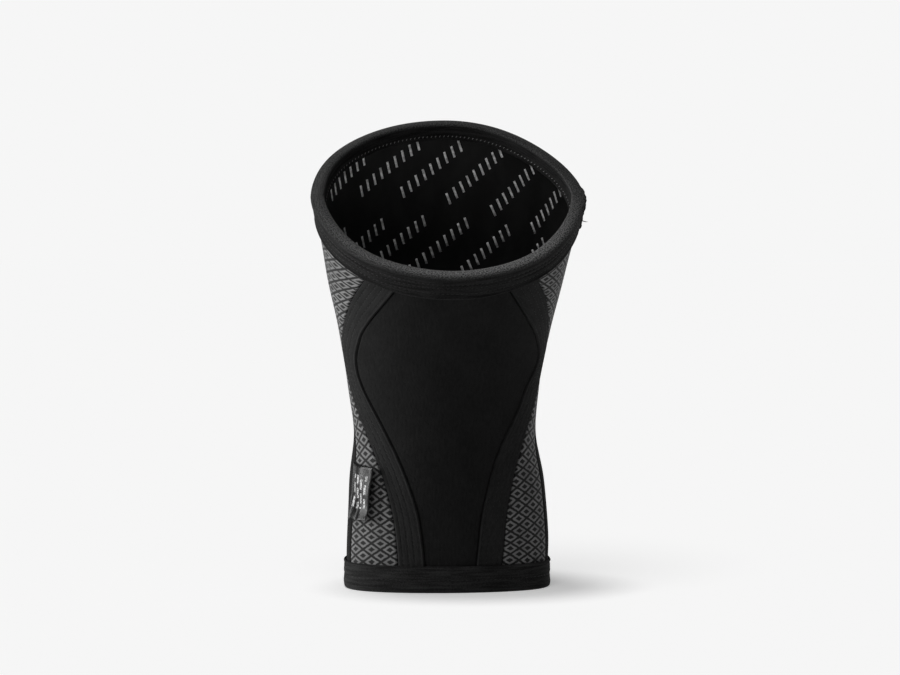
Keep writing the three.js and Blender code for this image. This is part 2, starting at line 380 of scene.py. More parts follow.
def mesh_object(name, points, faces, uvs, material):
    """A mesh piece. points are millimetres, and uvs has one pair for each corner of each face."""
    mesh = bpy.data.meshes.new(name)
    faces = np.asarray(faces)
    mesh.vertices.add(len(points))
    mesh.vertices.foreach_set("co", in_frame(points).astype(np.float32).ravel())
    mesh.loops.add(faces.size)
    mesh.loops.foreach_set("vertex_index", faces.astype(np.int32).ravel())
    mesh.polygons.add(len(faces))
    mesh.polygons.foreach_set("loop_start", np.arange(0, faces.size, faces.shape[1], dtype=np.int32))
    mesh.polygons.foreach_set("use_smooth", np.ones(len(faces), bool))
    layer = mesh.uv_layers.new(name="cloth")
    layer.data.foreach_set("uv", np.asarray(uvs, np.float32).ravel())
    mesh.update(calc_edges=True)
    mesh.validate()
    mesh.materials.append(material)
    piece = bpy.data.objects.new(name, mesh)
    bpy.context.scene.collection.objects.link(piece)
    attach(piece, "root")
    return piece


def plate(name, outer, inner, uv, material):
    """A closed plate between two faces, each a grid of points by row and column."""
    rows, columns = outer.shape[:2]
    size = rows * columns
    front = np.arange(size).reshape(rows, columns)
    back = front + size

    def quads(a, b, c, d):
        return np.stack([a, b, c, d], -1).reshape(-1, 4)

    faces = np.concatenate(
        [
            quads(front[:-1, :-1], front[:-1, 1:], front[1:, 1:], front[1:, :-1]),
            quads(back[:-1, :-1], back[1:, :-1], back[1:, 1:], back[:-1, 1:]),
            quads(front[:-1, -1], back[:-1, -1], back[1:, -1], front[1:, -1]),
            quads(front[:-1, 0], front[1:, 0], back[1:, 0], back[:-1, 0]),
            quads(back[0, :-1], back[0, 1:], front[0, 1:], front[0, :-1]),
            quads(front[-1, :-1], front[-1, 1:], back[-1, 1:], back[-1, :-1]),
        ]
    )
    points = np.concatenate([outer.reshape(-1, 3), inner.reshape(-1, 3)])
    corners = np.concatenate([uv.reshape(-1, 2)] * 2)[faces]
    return mesh_object(name, points, faces, corners, material)


def ring(name, grid, round_at, profile_at, material):
    """A closed ring: grid holds a closed profile for each column round the tube.
    round_at and profile_at give the distances along both ways, each with the closing value last."""
    columns, count = grid.shape[:2]
    i, k = np.meshgrid(np.arange(columns), np.arange(count), indexing="ij")
    i = np.stack([i, i + 1, i + 1, i], -1).reshape(-1, 4)
    k = np.stack([k, k, k + 1, k + 1], -1).reshape(-1, 4)
    faces = i % columns * count + k % count
    uv = np.stack([round_at[i], profile_at[k]], -1)
    return mesh_object(name, grid.reshape(-1, 3), faces, uv, material)


def dressed(piece, node):
    """A piece as the detailed form of one solid."""
    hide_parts(node)
    return piece


# Node materials


class Nodes:
    """Short calls for the nodes of one material. u and v are distances on the cloth, in millimetres."""

    def __init__(self, name):
        self.material = bpy.data.materials.new(name)
        self.material.use_nodes = True
        self.tree = self.material.node_tree
        self.shader = self.tree.nodes["Principled BSDF"]
        parts = self.add("SeparateXYZ", self.add("UVMap", uv_map="cloth").outputs[0])
        self.u, self.v = parts.outputs[:2]

    def feed(self, value, socket):
        if isinstance(value, bpy.types.NodeSocket):
            self.tree.links.new(value, socket)
        else:
            socket.default_value = value

    def add(self, kind, *values, **settings):
        node = self.tree.nodes.new("ShaderNode" + kind)
        for key, value in settings.items():
            setattr(node, key, value)
        for value, socket in zip(values, node.inputs):
            self.feed(value, socket)
        return node

    def math(self, operation, *values):
        return self.add("Math", *values, operation=operation).outputs[0]

    def times(self, first, second):
        return self.math("MULTIPLY", first, second)

    def weigh(self, first, *others):
        """The sum of values by their weights."""
        total = self.times(*first)
        for value, weight in others:
            total = self.math("ADD", total, self.times(value, weight))
        return total

    def noise(self, width, height, detail=2.0):
        """Noise with features of about this width and height, in millimetres, from 0 to 1."""
        across = self.math("DIVIDE", self.u, width)
        up = self.math("DIVIDE", self.v, height)
        place = self.add("CombineXYZ", across, up, 0.0).outputs[0]
        return self.add("TexNoise", place, 0.0, 1.0, detail).outputs[0]

    def wave(self, at, pitch):
        """A smooth wave of this pitch, from -1 to 1."""
        return self.math("SINE", self.times(at, 2 * math.pi / pitch))

    def blend(self, factor, first, second):
        node = self.add("Mix", factor, data_type="RGBA")
        self.feed(first, node.inputs[6])
        self.feed(second, node.inputs[7])
        return node.outputs[2]

    def between(self, value, low, high):
        """From 0 at low to 1 at high, smoothly."""
        return self.add("MapRange", value, low, high, interpolation_type="SMOOTHSTEP").outputs[0]

    def fill(self, node, values):
        for name, value in values.items():
            self.feed(value, node.inputs[name])

    def finish(self, colour, relief, roughness, specular, sheen, depth):
        """Sets the shader. depth is the relief's full depth in millimetres."""
        node = self.add("Bump")
        self.fill(node, {"Strength": 1.0, "Distance": depth * METRES, "Height": relief})
        surface = {
            "Base Color": colour,
            "Roughness": roughness,
            "Specular IOR Level": specular,
            "Sheen Weight": sheen,
            "Normal": node.outputs[0],
        }
        self.fill(self.shader, surface)
        return self.material


def grey(level):
    return (level, level, level, 1)


def knit_relief(n, wale, course):
    """The loops of a fine knit: ribs along n.v, each broken into courses."""
    ribs = n.wave(n.u, wale)
    lean = n.times(ribs, course * 0.25)
    courses = n.wave(n.math("ADD", n.v, lean), course)
    return n.weigh((ribs, 1.0), (courses, 0.45))


def jersey_material(name, dark, light, wale, course, sheen):
    n = Nodes(name)
    streaks = n.noise(width=1.7, height=4.5, detail=3.0)
    blotches = n.noise(width=17.0, height=23.0)
    speckle = n.noise(width=0.45, height=0.55, detail=1.0)
    pits = n.between(n.noise(width=1.3, height=1.9, detail=1.0), 0.3, 0.42)
    mixed = n.weigh((streaks, 0.4), (blotches, 0.3), (speckle, 0.3))
    colour = n.blend(n.between(mixed, 0.32, 0.68), dark, light)
    knit = knit_relief(n, wale, course)
    relief = n.weigh((knit, 0.5), (speckle, 1.2), (streaks, 2.0), (pits, 1.6))
    return n.finish(colour, relief, roughness=0.85, specular=0.08, sheen=sheen, depth=0.08)


def lattice_material(name, ground, thread):
    """Hollow grey diamonds with a dark heart, in rows."""
    n = Nodes(name)
    across = n.math("DIVIDE", n.u, DIAMOND_WIDTH)
    up = n.math("DIVIDE", n.v, DIAMOND_HEIGHT)

    def from_middle(value):
        return n.math("ABSOLUTE", n.math("SUBTRACT", n.math("FRACT", value), 0.5))

    ragged = n.noise(width=0.5, height=0.5, detail=1.0)
    ragged = n.math("SUBTRACT", ragged, 0.5)
    rising = from_middle(n.math("ADD", across, up))
    falling = from_middle(n.math("SUBTRACT", across, up))
    far = n.weigh((n.math("MAXIMUM", rising, falling), 2.0), (ragged, DIAMOND_RAGGED))
    outside_heart = n.between(far, DIAMOND_HEART - HEART_SOFT, DIAMOND_HEART + HEART_SOFT)
    inside_rim = n.math("SUBTRACT", 1.0, n.between(far, DIAMOND_RIM - RIM_SOFT, DIAMOND_RIM + RIM_SOFT))
    raised = n.times(outside_heart, inside_rim)
    blotches = n.noise(width=9.0, height=9.0, detail=3.0)
    shade = n.blend(n.between(blotches, 0.3, 0.7), grey(thread * 0.8), grey(thread * 1.15))
    colour = n.blend(raised, grey(ground), shade)
    knit = knit_relief(n, wale=0.7, course=0.8)
    relief = n.weigh((raised, 2.2), (knit, 0.35))
    return n.finish(colour, relief, roughness=0.75, specular=0.15, sheen=0.05, depth=0.06)


def tape_material(name, dark, light, fold_wear_and_sheen, fold_from, fold_to):
    """A ribbed tape whose fold is lighter, partly from worn, fuzzy pile and partly as painted sheen where
    light from above falls on the crest, less so on the far side of the rim.
    fold_from and fold_to are distances over the tape."""
    n = Nodes(name)
    fibres = n.noise(width=0.8, height=0.6, detail=4.0)
    streaks = n.noise(width=18.0, height=1.5, detail=3.0)
    mixed = n.weigh((fibres, 0.5), (streaks, 0.5))
    cloth = n.blend(n.between(mixed, 0.4, 0.6), dark, light)
    # The fold's lighter colour is partly fuzzy wear and partly painted sheen of the light from above; worn
    # below carries both.
    rise = n.between(n.v, fold_from, fold_from + WEAR_AND_SHEEN_RISE)
    fall = n.math("SUBTRACT", 1.0, n.between(n.v, fold_to - WEAR_AND_SHEEN_FALL, fold_to))
    patchy = n.between(n.noise(width=1.0, height=0.6), 0.33, 0.67)
    worn = n.times(n.times(rise, fall), patchy)
    far_share = n.between(n.wave(n.u, girth(1.0)), -1.0, 0.4)
    kept = n.math("SUBTRACT", 1.0, n.times(far_share, FAR_LESS_WEAR_AND_SHEEN))
    colour = n.blend(n.times(worn, kept), cloth, fold_wear_and_sheen)
    relief = n.weigh((n.wave(n.u, pitch=0.75), 0.4), (fibres, 3.0), (streaks, 3.0))
    return n.finish(colour, relief, roughness=0.9, specular=0.06, sheen=0.02, depth=0.12)


def lining_material(name, dark, light):
    n = Nodes(name)
    blotches = n.noise(width=12.0, height=20.0, detail=3.0)
    colour = n.blend(n.between(blotches, 0.3, 0.7), dark, light)
    relief = knit_relief(n, wale=0.6, course=0.6)
    return n.finish(colour, relief, roughness=0.7, specular=0.15, sheen=0.02, depth=0.03)


def ribbon_material(name, dark, light):
    """Glossy satin with plain light bars across it."""
    n = Nodes(name)

    def inside(value, low, high):
        return n.times(n.math("GREATER_THAN", value, low), n.math("LESS_THAN", value, high))

    floats = n.noise(width=0.35, height=3.0)
    satin = n.blend(n.between(floats, 0.3, 0.7), dark, light)
    column = n.math("DIVIDE", n.math("SUBTRACT", n.u, MARKS_ACROSS[0]), MARK_PITCH)
    stagger = n.times(n.math("FLOOR", column), MARK_STAGGER)
    across = n.math("ABSOLUTE", n.math("SUBTRACT", n.math("FRACT", column), 0.5))
    dash = n.math("FRACT", n.math("ADD", n.math("DIVIDE", n.v, MARK_RUN), stagger))
    thick = n.math("LESS_THAN", across, MARK_THICKNESS)
    bars = n.times(thick, n.math("LESS_THAN", dash, MARK_SHARE))
    area = n.times(inside(n.u, *MARKS_ACROSS), inside(n.v, *MARKS_UP))
    worn = n.between(n.noise(width=0.8, height=1.2, detail=3.0), 0.35, 0.6)
    marks = n.times(n.times(bars, area), worn)
    colour = n.blend(marks, satin, grey(0.45))
    relief = n.math("ADD", n.wave(n.weigh((n.v, 1.0), (n.u, 0.6)), pitch=0.5), floats)
    return n.finish(colour, relief, roughness=0.24, specular=0.085, sheen=0.0, depth=0.012)


def thread_material(name, level):
    n = Nodes(name)
    twist = n.wave(n.math("ADD", n.u, n.v), pitch=0.45)
    colour = n.blend(n.between(twist, -1.0, 1.0), grey(level * 0.6), grey(level * 1.3))
    return n.finish(colour, twist, roughness=0.5, specular=0.3, sheen=0.0, depth=0.04)


def print_material(name):
    n = Nodes(name)
    patches = n.noise(width=2.5, height=2.5, detail=3.0)
    colour = n.blend(n.between(patches, 0.3, 0.7), grey(0.35), grey(0.9))
    return n.finish(colour, patches, roughness=0.55, specular=0.3, sheen=0.0, depth=0.05)


# How the fold's wear and painted sheen rise and fall, and where the label's bars lie, in millimetres or
# shares
WEAR_AND_SHEEN_RISE = 6.0
WEAR_AND_SHEEN_FALL = 1.6
FAR_LESS_WEAR_AND_SHEEN = 0.72
MARKS_ACROSS = (5.0, 18.6)
MARKS_UP = (7.5, 28.0)
MARK_PITCH = 3.4
MARK_RUN = 8.5
MARK_STAGGER = 0.37
MARK_THICKNESS = 0.24
MARK_SHARE = 0.72

BLACK_JERSEY = jersey_material("black_jersey", grey(0.004), grey(0.0085), 0.8, 0.9, 0.0)
BLACK_BAND = jersey_material("black_band", grey(0.007), grey(0.015), 0.6, 0.7, 0.006)
GREY_LATTICE = lattice_material("grey_lattice", 0.006, 0.118)
BLACK_LINING = lining_material("black_lining", grey(0.006), grey(0.011))
FOLD_FROM = TOP_TAPE_HEIGHT - 1.0
FOLD_TO = TOP_TAPE_HEIGHT + 11.0
# The top tape's fold colour, grey(0.14), is partly wear and partly painted sheen of the light from above.
TOP_TAPE_CLOTH = tape_material("top_tape", grey(0.0035), grey(0.013), grey(0.14), FOLD_FROM, FOLD_TO)
BOTTOM_TAPE_CLOTH = tape_material("bottom_tape", grey(0.006), grey(0.02), grey(0.02), 10.0, 11.0)
SATIN_RIBBON = ribbon_material("satin_ribbon", grey(0.004), grey(0.011))
DARK_THREAD = thread_material("dark_thread", 0.0025)
PALE_THREAD = thread_material("pale_thread", 0.13)
GRIP_PRINT = print_material("grip_print")


# Foam panels


def panel_grid(start_seam, end_seam, step):
    """Rows of points between two seams, closer together beside the seams. Gives each point's angle, share
    of the way up, distance from the start and its row's whole width."""
    along = np.linspace(0, 1, PANEL_ROWS + 1)
    starts = beside(start_seam, along, SEAM_GAP / 2)
    ends = beside(end_seam, along, -SEAM_GAP / 2)
    fine_rows = np.linspace(starts, ends, ROW_SAMPLES, axis=-1)
    runs = [lengths(outside(fine, share)) for fine, share in zip(fine_rows, along)]
    widest = max(run[-1] for run in runs)
    inner = max(int((widest - 2 * SEAM_STEPS[-1]) / step), 2)
    angles, distances, widths = [], [], []
    for fine, run in zip(fine_rows, runs):
        width = run[-1]
        edge = SEAM_STEPS * min(1, width / 2 / (SEAM_STEPS[-1] + 1))
        middle = np.linspace(edge[-1], width - edge[-1], inner + 2)[1:-1]
        at = np.concatenate([edge, middle, width - edge[::-1]])
        angles.append(np.interp(at, run, fine))
        distances.append(at)
        widths.append(np.full(len(at), width))
    shares = np.repeat(along[:, None], len(at), 1)
    return np.array(angles), shares, np.array(distances), np.array(widths)


def edge_dip(distance, width):
    """How far a foam panel's face dips towards its sewn edges."""
    nearest = np.minimum(distance, width - distance)
    return EDGE_DIP * np.clip(1 - nearest / EDGE_ROUND, 0, 1) ** 2


def plain_uv(angle, along, from_middle):
    """Distances beside the middle of each row and up the wall, in millimetres."""
    middle = angle[:, angle.shape[1] // 2]
    up = height_run(along[:, 0], float(np.mean(middle)))
    return np.stack([from_middle, np.repeat(up[:, None], angle.shape[1], 1)], -1)


def grain_uv(angle, along, side):
    """Distances beside and along the kneecap seam, in millimetres. High on the left the cloth is pulled
    askew, which turns one family of the lattice's lines."""
    fine = np.linspace(0, 1, SEAM_SAMPLES)
    line = outside(side * knee_edge(fine), fine)
    run = lengths(line)
    points = outside(angle, along).reshape(-1, 3)
    gaps = np.linalg.norm(points[:, None, :] - line[None, :, :], axis=-1)
    foot = gaps.argmin(1)
    nearer = np.sign(knee_edge(along) - np.abs(angle)).ravel()
    beside_seam, up_seam = gaps[np.arange(len(points)), foot] * nearer, run[foot]
    askew = LATTICE_ASKEW * smooth_step((up_seam - ASKEW_FROM) / ASKEW_OVER) * (side < 0)
    up_seam = up_seam + askew / 2 * DIAMOND_HEIGHT / DIAMOND_WIDTH * beside_seam
    beside_seam = beside_seam * (1 - askew / 2)
    return np.stack([beside_seam, up_seam], -1).reshape(angle.shape + (2,))


def foam_panel(name, start_seam, end_seam, material, step=PANEL_STEP, proud=None, side=0):
    angle, along, distance, width = panel_grid(start_seam, end_seam, step)
    rise = -edge_dip(distance, width)
    if proud is not None:
        rise = rise + proud(distance, width)
    outer = within(angle, along, -rise)
    inner = within(angle, along, FOAM)
    if side:
        uv = grain_uv(angle, along, side)
    else:
        uv = plain_uv(angle, along, distance - width / 2)
    piece = dressed(plate(name + "_foam", outer, inner, uv, material), name)


def band_relief(near_distance, width):
    """A folded strip sewn on: proud, with a ridge at its near edge and parallel sewn lines."""
    near_slope = smooth_step(near_distance / BAND_NEAR_SLOPE)
    rise = BAND_PROUD * near_slope * smooth_step((width - near_distance) / BAND_FAR_SLOPE)
    rise = rise + bump(near_distance, *BAND_RIDGE)
    for line in BAND_LINES:
        rise = rise - bump(near_distance, line * width, BAND_GROOVE, BAND_GROOVE_WIDTH)
    return rise


def left_relief(distance, width):
    return band_relief(width - distance, width)


foam_panel("rear_panel", left_near_edge, right_near_edge, BLACK_JERSEY)
foam_panel("knee_panel", knee_edge, past_far, BLACK_JERSEY)
foam_panel("rear_band_right", right_near_edge, band_edge, BLACK_BAND, BAND_STEP, band_relief)
foam_panel("rear_band_left", left_band_edge, left_near_edge, BLACK_BAND, BAND_STEP, left_relief)
foam_panel("side_panel_right", band_edge, knee_edge, GREY_LATTICE, side=1)
foam_panel("side_panel_left", left_knee_edge, left_band_edge, GREY_LATTICE, side=-1)


# Lining and its printed bars

LINING_RUN_AT = 0.7


def lining():
    rows = np.linspace(0, 1, LINING_ROWS + 1)
    angle = np.linspace(0, 2 * math.pi, LINING_COLUMNS + 1)
    loop_along = np.append(rows, rows[::-1])
    loop_depth = np.repeat([FOAM + LINING_GAP, WALL], len(rows))
    grid = within(angle[:-1, None], loop_along, loop_depth)
    round_at = lengths(outside(angle, LINING_RUN_AT))
    up = height_run(rows, math.pi / 2)
    profile_at = np.concatenate([up, 2 * up[-1] - up[::-1] + LINING, [2 * up[-1] + 2 * LINING]])
    cloth = ring("lining_cloth", grid, round_at, profile_at, BLACK_LINING)
    return dressed(cloth, "lining")


lining_piece = lining()

PRINT_ROW_SPACING = 30.0
PRINT_LEVEL_DROP = 50.0
PRINT_LEVEL_SHIFT = 6.0
PRINT_SHIFT = 4.0
PRINT_TOP = 49.0
PRINT_RISE = math.radians(40)
PRINT_BARS = 9
PRINT_PITCH = 5.8
BAR_LENGTH = 7.4
BAR_WIDTH = 1.5
BAR_LEAN = math.radians(72)
BAR_SEGMENTS = 3
BAR_PROUD = 0.14
BAR_SUNK = 0.25
PRINT_LEVELS = 6
PRINT_TILT = 0.18
PRINT_SAG = 0.0019
PRINT_LOW = 0.08
PRINT_HIGH = 0.98
PRINT_OFF_NEAR = 0.3
WALK_STEPS = 8
LONG_WALK_STEPS = 30


def walk_inside(angle, along, level, upward, steps=WALK_STEPS):
    """Moves over the wall by level and upward distances, as seen from the inside."""
    for _ in range(steps):
        across, up = round_tangent(angle, along), up_tangent(angle, along)
        outward = unit(np.cross(across, up))
        right = unit(np.cross(outward, np.array([0.0, 0.0, 1.0])))
        way = (level[..., None] * right + upward[..., None] * np.cross(right, outward)) / steps
        a, b, c = (across * across).sum(-1), (across * up).sum(-1), (up * up).sum(-1)
        p, q = (way * across).sum(-1), (way * up).sum(-1)
        whole = a * c - b * b
        angle = angle + (c * p - b * q) / whole
        along = np.clip(along + (a * q - b * p) / whole, 0, 1)
    return angle, along


def grip_print():
    starts, runs = [], []
    columns = int(girth(1.0) / 2 / PRINT_ROW_SPACING)
    for level in range(PRINT_LEVELS):
        for column in range(-columns, columns + 1):
            start = PRINT_SHIFT + column * PRINT_ROW_SPACING + level * PRINT_LEVEL_SHIFT
            below = PRINT_TOP + level * PRINT_LEVEL_DROP + PRINT_TILT * start + PRINT_SAG * start**2
            starts += [(start, -below)] * PRINT_BARS
            runs += [bar * PRINT_PITCH for bar in range(PRINT_BARS)]
    starts, runs = np.array(starts), np.array(runs)
    lean = PRINT_RISE + BAR_LEAN
    forward = np.array([math.cos(lean), math.sin(lean)])
    sideways = np.array([math.sin(lean), -math.cos(lean)])
    row = np.array([math.cos(PRINT_RISE), math.sin(PRINT_RISE)])
    steps = np.linspace(0, BAR_LENGTH, BAR_SEGMENTS + 1)
    sides = np.array([-BAR_WIDTH / 2, BAR_WIDTH / 2])
    place = runs[:, None, None, None] * row + steps[:, None, None] * forward + sides[:, None] * sideways
    rim = np.zeros(len(starts))
    angle, along = walk_inside(rim + math.pi, rim + 1.0, rim, starts[:, 1])
    angle, along = walk_inside(angle, along, starts[:, 0], rim, LONG_WALK_STEPS)
    whole = np.zeros(place.shape[:3])
    angle, along = angle[:, None, None] + whole, along[:, None, None] + whole
    angle, along = walk_inside(angle, along, place[..., 0], place[..., 1])
    keep = (along.min(axis=(1, 2)) > PRINT_LOW) & (along.max(axis=(1, 2)) < PRINT_HIGH)
    keep &= np.abs(angle - math.pi).max(axis=(1, 2)) < math.pi - PRINT_OFF_NEAR
    angle, along, place = angle[keep], along[keep], place[keep]
    low = within(angle, along, WALL - BAR_SUNK)
    high = within(angle, along, WALL + BAR_PROUD)

    def four(near, far):
        return np.stack([near[:, :, 0], near[:, :, 1], far[:, :, 1], far[:, :, 0]], axis=2)

    points, marks = four(low, high).reshape(-1, 3), four(place, place).reshape(-1, 2)
    k = np.arange(4)
    after = (k + 1) % 4
    top = BAR_SEGMENTS * 4
    walls = [np.stack([j + k, j + after, j + 4 + after, j + 4 + k], -1) for j in range(0, top, 4)]
    one = np.concatenate([*walls, [k[::-1], top + k]])
    faces = (np.arange(len(angle))[:, None, None] * (top + 4) + one).reshape(-1, 4)
    return mesh_object("grip_print", points, faces, marks[faces], GRIP_PRINT)


print_piece = grip_print()


# Tapes folded over the rims


OUTER_FACE = -(TAPE_GAP + TAPE)
INNER_FACE = WALL + TAPE_GAP + TAPE
HALF_TAPE = TAPE / 2
CREST_TURNS = np.linspace(0, math.pi, 22)
CREST_FLATNESS = 0.7
HEM_TURNS = np.linspace(0, math.pi, 7)[1:-1]
CORNER_TURNS = np.linspace(0, math.pi / 2, 7)
SOLE_POINTS = 6
INNER_LEG_FROM = 0.3
INNER_LEG_RELIEF = 0.6
LAP_FINE = np.arange(-1.2, 1.25, 0.24)
LEAST_STEP = 0.1

# Where the stitches run, and the bumps over each tape, as distances from its sewn edge
TOP_ROWS = (3.9, 7.6, 10.1)
OVERLOCK_ROW = 2.4
BOTTOM_ROW = 8.3
TOP_BUMPS = [
    (0.9, 0.3, 0.7),
    (2.2, -0.2, 0.5),
    (TOP_ROWS[0], -0.25, 0.4),
    (TOP_ROWS[1], -0.25, 0.4),
    (TOP_ROWS[2], -0.2, 0.4),
    (13.0, 0.35, 1.8),
]
INNER_BUMPS = [(0.8, 0.25, 0.6), (OVERLOCK_ROW, -0.25, 0.4), (6.0, -0.2, 0.5)]
BOTTOM_BUMPS = [
    (0.9, 0.25, 0.7),
    (2.2, -0.35, 0.6),
    (6.6, 0.15, 1.2),
    (BOTTOM_ROW, -0.3, 0.7),
    (13.0, 0.25, 1.8),
]


def relief(bumps, edge):
    return sum(bump(edge, *one) for one in bumps)


def top_relief(drop):
    return relief(TOP_BUMPS, TOP_TAPE_HEIGHT - drop)


def inner_relief(drop):
    return relief(INNER_BUMPS, TOP_TAPE_INSIDE - drop)


def bottom_relief(height):
    return relief(BOTTOM_BUMPS, BOTTOM_TAPE_HEIGHT - height)


def top_profile():
    """The upper tape's profile: drop below the rim, depth, and how much of the lap's rise it takes."""
    points = []
    for drop in np.arange(TOP_TAPE_HEIGHT - HALF_TAPE, 0, -RELIEF_STEP):
        points.append((drop, OUTER_FACE - top_relief(drop), 1))
    middle, half = (OUTER_FACE + INNER_FACE) / 2, (INNER_FACE - OUTER_FACE) / 2
    for turn in CREST_TURNS:
        rise = TAPE_GAP + TOP_CREST * math.sin(turn) ** CREST_FLATNESS
        share = (1 + math.cos(turn)) / 2
        points.append((-rise, middle - half * math.cos(turn) - top_relief(0) * share, share))
    inner_end, outer_end = TOP_TAPE_INSIDE - HALF_TAPE, TOP_TAPE_HEIGHT - HALF_TAPE
    for drop in np.arange(INNER_LEG_FROM, inner_end, RELIEF_STEP):
        points.append((drop, INNER_FACE + inner_relief(drop), 0))
    inner_middle, outer_middle = WALL + TAPE_GAP + HALF_TAPE, OUTER_FACE + HALF_TAPE
    for turn in HEM_TURNS:
        drop = inner_end + HALF_TAPE * math.sin(turn)
        points.append((drop, inner_middle + HALF_TAPE * math.cos(turn), 0))
    points += [(drop, WALL + TAPE_GAP, 0) for drop in (inner_end, TOP_TAPE_INSIDE / 2, -TAPE_GAP)]
    points += [(drop, -TAPE_GAP, 0) for drop in (-TAPE_GAP, TOP_TAPE_HEIGHT / 2, outer_end)]
    for turn in HEM_TURNS:
        drop = outer_end + HALF_TAPE * math.sin(turn)
        points.append((drop, outer_middle + HALF_TAPE * math.cos(turn), (1 - math.cos(turn)) / 2))
    return np.array(points)


def lap_share(distance):
    """How much of the lap's rise there is at a distance round from its middle."""
    inside = LAP_LENGTH / 2 - np.abs(distance)
    return smooth_step((inside + LAP_SLOPE) / LAP_SLOPE)


def crumple(distance, drop):
    """The uneven cloth where the tape's ends are sewn down."""
    near = np.exp(-((distance / LAP_LENGTH) ** 2) * 2)
    return CRUMPLE * near * waves(CRUMPLE_WAVES, distance, drop)


def above_rim(angle, drop, depth):
    """A point of the upper tape, at a drop below the rim or, where that is negative, over it."""
    up = up_tangent(angle, 1.0)
    length = np.linalg.norm(up, axis=-1)
    below = np.maximum(drop, 0)
    points = within(angle, 1 - below / length, depth)
    return points + (up / length[..., None]) * np.maximum(-drop, 0)[..., None]


def top_tape():
    start = math.pi / 2
    total = girth(1.0, start)
    half_lap = (LAP_LENGTH + LAP_SLOPE) / 2
    fine = [end % total + LAP_FINE for end in (-half_lap, half_lap)]
    at = np.unique(np.round(np.concatenate([np.arange(0, total, TAPE_STEP), *fine]), 3))
    at = at[np.append(True, np.diff(at) > LEAST_STEP)]
    table_angles, table_run = even_angles(1.0, ROUND_SAMPLES, start)
    angle = np.interp(at, table_run, table_angles)[:, None]
    from_lap = np.where(at > total / 2, at - total, at)[:, None]
    profile = top_profile()
    drop, depth, share = profile.T[:, None]
    rise = LAP_RISE * lap_share(from_lap) * share + crumple(from_lap, drop) * share
    grid = above_rim(*np.broadcast_arrays(angle, drop, depth - rise))
    over = lengths(np.append(profile[:, :2], profile[:1, :2], 0))
    tape = ring("top_binding_tape", grid, np.append(at, total), over, TOP_TAPE_CLOTH)
    return dressed(tape, "top_binding"), total


top_piece, TOP_ROUND = top_tape()


def bottom_profile():
    """The lower tape's profile: height over the floor and depth."""
    corner = BOTTOM_EDGE_RADIUS
    points = [(0, depth) for depth in np.linspace(INNER_FACE - corner, OUTER_FACE + corner, SOLE_POINTS)]
    bend = [(corner * (1 - math.cos(t)), corner * (1 - math.sin(t))) for t in CORNER_TURNS[1:]]
    points += [(h, OUTER_FACE + across) for h, across in bend]
    legs = np.arange(corner + RELIEF_STEP, BOTTOM_TAPE_HEIGHT - HALF_TAPE, RELIEF_STEP)
    points += [(h, OUTER_FACE - bottom_relief(h)) for h in legs]
    top = BOTTOM_TAPE_HEIGHT - HALF_TAPE
    hem = [(top + HALF_TAPE * math.sin(t), -HALF_TAPE * math.cos(t)) for t in HEM_TURNS]
    points += [(h, OUTER_FACE + HALF_TAPE + across) for h, across in hem]
    points += [(h, -TAPE_GAP) for h in (top, BOTTOM_TAPE_HEIGHT / 2, TAPE)]
    points += [(h, WALL + TAPE_GAP) for h in (TAPE, BOTTOM_TAPE_HEIGHT / 2, top)]
    points += [(h, INNER_FACE - HALF_TAPE + across) for h, across in hem]
    points += [(h, INNER_FACE + INNER_LEG_RELIEF * bottom_relief(h)) for h in legs[::-1]]
    points += [(h, INNER_FACE - across) for h, across in bend[::-1]]
    return np.array(points)


def on_base(angle, height, depth):
    """A point of the lower tape, at a height over the floor."""
    per_share = np.linalg.norm(up_tangent(angle, 0.0), axis=-1)
    share = (height - FOOT) / per_share
    points = within(angle, np.maximum(share, 0), depth)
    points[..., 2] = np.where(height < FOOT, height, points[..., 2])
    return points


def bottom_tape():
    angle, at = even_angles(0.0, int(girth(0.0) / TAPE_STEP))
    angle = angle[:-1, None]
    profile = bottom_profile()
    height, depth = profile.T[:, None]
    grid = on_base(*np.broadcast_arrays(angle, height, depth))
    over = lengths(np.append(profile, profile[:1], 0))
    tape = ring("bottom_binding_tape", grid, at, over, BOTTOM_TAPE_CLOTH)
    return dressed(tape, "bottom_binding")


bottom_piece = bottom_tape()


# Stitches

STITCH_SHARES = np.array([-0.82, -0.4, 0.4, 0.82])
STITCH_GIRTH = np.array([0.6, 1.0, 1.0, 0.6])
STITCH_SIDES = 6
STITCH_ARCH = 0.16
FINE_THREAD = 0.15
BAND_THREAD = 0.13
THICK_THREAD = 0.28
OVERLOCK_PITCH = 2.7
OVERLOCK_LENGTH = 2.6
OVERLOCK_SLANT = math.radians(60)
ROW_LOW = 0.06
ROW_HIGH = 0.945
ROW_UP_SAMPLES = 800
AHEAD = 0.1
SOLE_SHARE = 0.03


def thread_faces(rings, sides):
    """The triangles of one thread: rings of points, and then a tip at each end."""
    faces = []
    last = (rings - 1) * sides
    for k in range(sides):
        after = (k + 1) % sides
        for j in range(0, last, sides):
            faces.append([j + k, j + after, j + sides + after])
            faces.append([j + k, j + sides + after, j + sides + k])
        faces.append([last + sides, after, k])
        faces.append([last + sides + 1, last + k, last + after])
    return np.array(faces)


